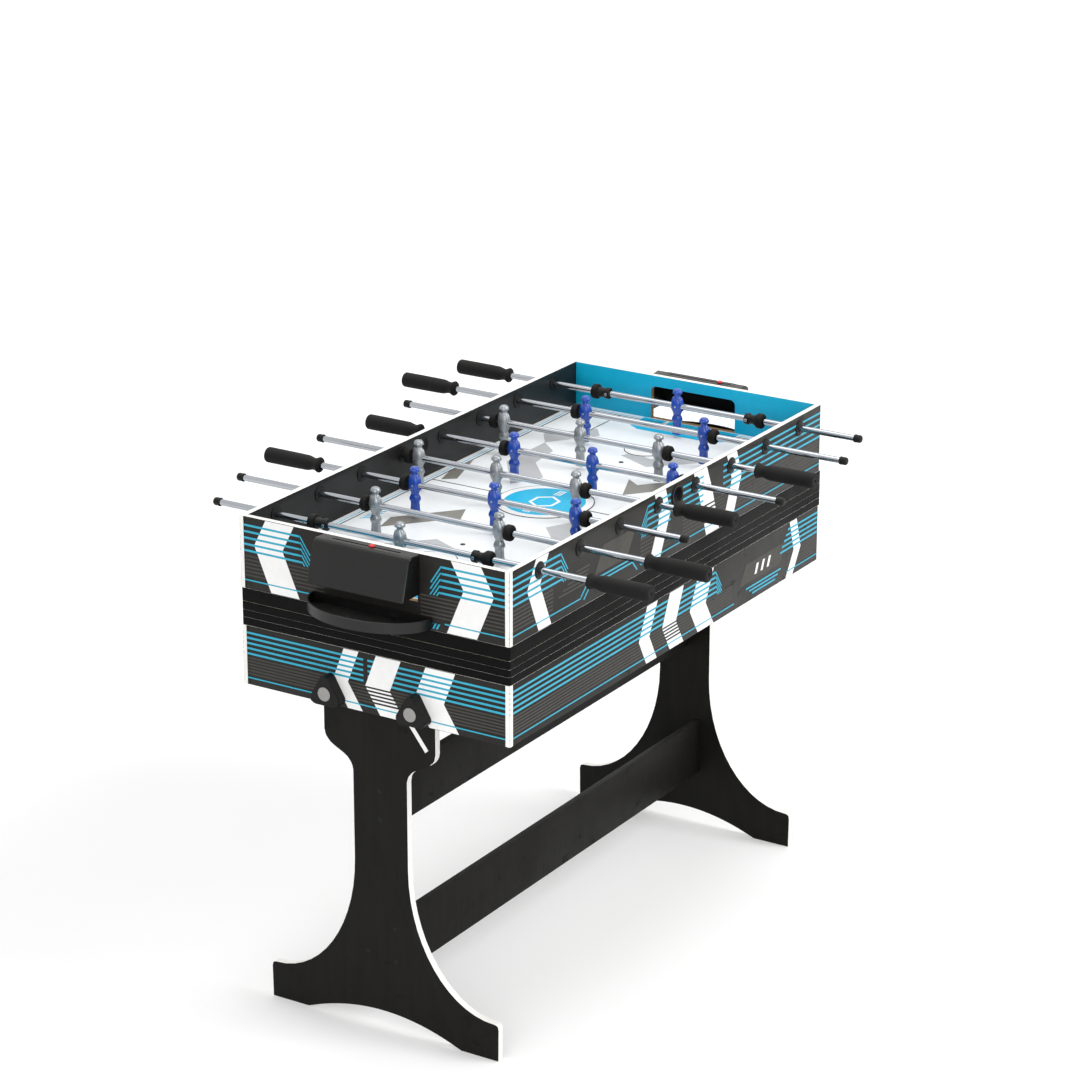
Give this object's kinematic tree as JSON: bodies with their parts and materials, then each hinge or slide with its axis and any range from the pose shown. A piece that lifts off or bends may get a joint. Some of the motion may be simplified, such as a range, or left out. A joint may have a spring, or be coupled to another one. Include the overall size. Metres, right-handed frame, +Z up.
{
  "type": "multi game table",
  "caption": "Folding game table: a trestle carries a tilting pool cabinet, under a stack of loose game boards and a table football box with sliding, spinning player rods.",
  "frame": {"origin": "on the floor under the middle of the table", "axes": "+X along the table from the near end in the picture to the far end, +Y across it towards the side with the blue team's grips, +Z up"},
  "size_m": [1.3966, 1.164, 1.024],
  "materials": {
    "black_laminate": "black laminate on board",
    "red_cloth": "napped cloth",
    "black_plastic": "lightly textured",
    "white_sheet": "white writing surface on board",
    "grey_board": "matt painted board",
    "printed_board": "printed board with plastic edge",
    "red_plastic": "gloss",
    "white_field": "smooth printed board",
    "silver_team": "metallic grey plastic on a chromed rod",
    "blue_team": "blue plastic on a chromed rod",
    "grip_rubber": "matt"
  },
  "bodies": {
    "leg_frame": {"near_leg_panel": "black_laminate", "far_leg_panel": "black_laminate", "upper_stretcher": "black_laminate", "lower_stretcher": "black_laminate", "lower_ledge": "black_laminate"},
    "pool_cabinet": {"front_apron": "black_laminate", "back_apron": "black_laminate", "near_end_apron": "black_laminate", "far_end_apron": "black_laminate", "pool_bed": "red_cloth", "near_front_cushion": "red_cloth", "far_front_cushion": "red_cloth", "far_back_cushion": "red_cloth", "near_back_cushion": "red_cloth", "near_end_cushion": "red_cloth", "far_end_cushion": "red_cloth", "near_front_pocket": "black_plastic", "far_front_pocket": "black_plastic", "far_back_pocket": "black_plastic", "near_back_pocket": "black_plastic", "middle_front_pocket": "black_plastic", "middle_back_pocket": "black_plastic", "near_pivot_knob": "black_plastic", "near_lock_knob": "black_plastic", "far_pivot_knob": "black_plastic", "far_lock_knob": "black_plastic"},
    "whiteboard_layer": {"whiteboard": "white_sheet"},
    "tennis_layer": {"tennis_board": "grey_board"},
    "hockey_layer": {"hockey_board": "printed_board", "near_hockey_goal": "red_plastic", "far_hockey_goal": "red_plastic"},
    "sling_layer": {"sling_board": "printed_board", "sling_divider": "black_plastic"},
    "football_box": {"front_wall": "black_laminate", "back_wall": "black_laminate", "near_end_wall": "black_laminate", "far_end_wall": "black_laminate", "playing_field": "white_field", "near_ball_hood": "black_plastic", "far_ball_hood": "black_plastic", "near_ball_tray": "black_plastic", "far_ball_tray": "black_plastic"},
    "near_score": {"near_score_bead": "red_plastic"},
    "far_score": {"far_score_bead": "red_plastic"},
    "grip_slide_1": {"grip_1": "grip_rubber"},
    "rod_spin_1": {"rod_1": "silver_team"},
    "grip_slide_2": {"grip_2": "grip_rubber"},
    "rod_spin_2": {"rod_2": "silver_team"},
    "grip_slide_3": {"grip_3": "grip_rubber"},
    "rod_spin_3": {"rod_3": "blue_team"},
    "grip_slide_4": {"grip_4": "grip_rubber"},
    "rod_spin_4": {"rod_4": "silver_team"},
    "grip_slide_5": {"grip_5": "grip_rubber"},
    "rod_spin_5": {"rod_5": "blue_team"},
    "grip_slide_6": {"grip_6": "grip_rubber"},
    "rod_spin_6": {"rod_6": "silver_team"},
    "grip_slide_7": {"grip_7": "grip_rubber"},
    "rod_spin_7": {"rod_7": "blue_team"},
    "grip_slide_8": {"grip_8": "grip_rubber"},
    "rod_spin_8": {"rod_8": "blue_team"}
  },
  "joints": [
    {"name": "fold_pool_cabinet", "type": "hinge", "parent": "leg_frame", "child": "pool_cabinet", "pos_m": [0, -0.098, 0.697], "axis": [-1, 0, 0], "range_deg": [-90, 0]},
    {"name": "lift_1_whiteboard", "type": "slide", "parent": "pool_cabinet", "child": "whiteboard_layer", "axis": [0, 0, 1], "range_m": [0, 0.142]},
    {"name": "lift_2_tennis_board", "type": "slide", "parent": "whiteboard_layer", "child": "tennis_layer", "axis": [0, 0, 1], "range_m": [0, 0.124]},
    {"name": "lift_3_hockey_board", "type": "slide", "parent": "tennis_layer", "child": "hockey_layer", "axis": [0, 0, 1], "range_m": [0, 0.142]},
    {"name": "lift_4_sling_board", "type": "slide", "parent": "hockey_layer", "child": "sling_layer", "axis": [0, 0, 1], "range_m": [0, 0.15]},
    {"name": "lift_5_football_box", "type": "slide", "parent": "sling_layer", "child": "football_box", "axis": [0, 0, 1], "range_m": [0, 0.16]},
    {"name": "rod_1_slide", "type": "slide", "parent": "football_box", "child": "grip_slide_1", "axis": [0, 1, 0], "range_m": [-0.0875, 0.0775]},
    {"name": "rod_1_spin", "type": "hinge", "parent": "grip_slide_1", "child": "rod_spin_1", "pos_m": [-0.5075, 0, 0.9865], "axis": [0, 1, 0], "continuous": true},
    {"name": "rod_2_slide", "type": "slide", "parent": "football_box", "child": "grip_slide_2", "axis": [0, 1, 0], "range_m": [-0.135, 0.099]},
    {"name": "rod_2_spin", "type": "hinge", "parent": "grip_slide_2", "child": "rod_spin_2", "pos_m": [-0.3625, 0, 0.9865], "axis": [0, 1, 0], "continuous": true},
    {"name": "rod_3_slide", "type": "slide", "parent": "football_box", "child": "grip_slide_3", "axis": [0, 1, 0], "range_m": [-0.0535, 0.0935]},
    {"name": "rod_3_spin", "type": "hinge", "parent": "grip_slide_3", "child": "rod_spin_3", "pos_m": [-0.2175, 0, 0.9865], "axis": [0, 1, 0], "continuous": true},
    {"name": "rod_4_slide", "type": "slide", "parent": "football_box", "child": "grip_slide_4", "axis": [0, 1, 0], "range_m": [-0.1415, 0.0055]},
    {"name": "rod_4_spin", "type": "hinge", "parent": "grip_slide_4", "child": "rod_spin_4", "pos_m": [-0.0725, 0, 0.9865], "axis": [0, 1, 0], "continuous": true},
    {"name": "rod_5_slide", "type": "slide", "parent": "football_box", "child": "grip_slide_5", "axis": [0, 1, 0], "range_m": [-0.0055, 0.1415]},
    {"name": "rod_5_spin", "type": "hinge", "parent": "grip_slide_5", "child": "rod_spin_5", "pos_m": [0.0725, 0, 0.9865], "axis": [0, 1, 0], "continuous": true},
    {"name": "rod_6_slide", "type": "slide", "parent": "football_box", "child": "grip_slide_6", "axis": [0, 1, 0], "range_m": [-0.1225, 0.0245]},
    {"name": "rod_6_spin", "type": "hinge", "parent": "grip_slide_6", "child": "rod_spin_6", "pos_m": [0.2175, 0, 0.9865], "axis": [0, 1, 0], "continuous": true},
    {"name": "rod_7_slide", "type": "slide", "parent": "football_box", "child": "grip_slide_7", "axis": [0, 1, 0], "range_m": [-0.099, 0.135]},
    {"name": "rod_7_spin", "type": "hinge", "parent": "grip_slide_7", "child": "rod_spin_7", "pos_m": [0.3625, 0, 0.9865], "axis": [0, 1, 0], "continuous": true},
    {"name": "rod_8_slide", "type": "slide", "parent": "football_box", "child": "grip_slide_8", "axis": [0, 1, 0], "range_m": [-0.0685, 0.0965]},
    {"name": "rod_8_spin", "type": "hinge", "parent": "grip_slide_8", "child": "rod_spin_8", "pos_m": [0.5075, 0, 0.9865], "axis": [0, 1, 0], "continuous": true},
    {"name": "score_near", "type": "slide", "parent": "football_box", "child": "near_score", "axis": [0, 1, 0], "range_m": [-0.061, 0.085]},
    {"name": "score_far", "type": "slide", "parent": "football_box", "child": "far_score", "axis": [0, 1, 0], "range_m": [-0.023, 0.123]}
  ]
}
